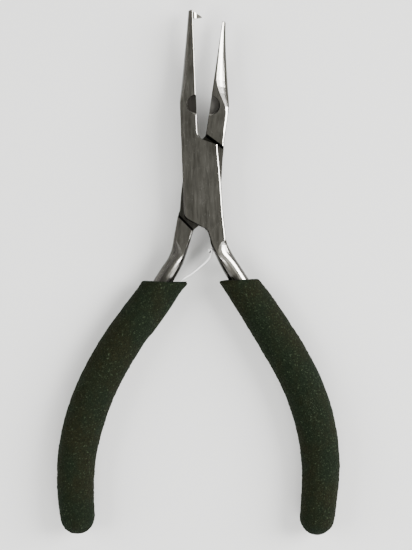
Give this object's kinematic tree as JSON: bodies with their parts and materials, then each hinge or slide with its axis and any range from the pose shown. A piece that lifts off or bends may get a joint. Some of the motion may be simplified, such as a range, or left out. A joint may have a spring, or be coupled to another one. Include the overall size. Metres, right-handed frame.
{
  "type": "crimping pliers",
  "caption": "Long-nose lap-joint crimping pliers with a hooked jaw tip, a round nest milled across the jaws, a leaf return spring and foam-covered handles.",
  "frame": {"origin": "on the pivot axis at the joint's underside, the lower flush end of the pivot rivet", "axes": "+Y along the tool towards the jaw tips, +Z along the pivot axis out of the joint's top face, +X towards the shorter jaw"},
  "size_m": [0.0808, 0.1497, 0.0114],
  "materials": {
    "satin_steel": "satin ground and lightly polished",
    "spring_steel": "bright rolled strip",
    "green_foam": "matt fine-grained foam"
  },
  "bodies": {
    "lower_body": {"lower_half": "satin_steel", "pivot_rivet": "satin_steel", "leaf_spring": "spring_steel", "spring_rivet": "spring_steel", "left_grip": "green_foam"},
    "upper_body": {"upper_half": "satin_steel", "right_grip": "green_foam"}
  },
  "joints": [
    {"name": "pivot", "type": "hinge", "parent": "lower_body", "child": "upper_body", "pos_m": [0, 0, 0], "axis": [0, 0, -1], "range_deg": [0, 10.2], "stiffness_Nm_per_rad": 0.15, "springref_deg": -8.59, "deforming": ["leaf_spring"]}
  ]
}
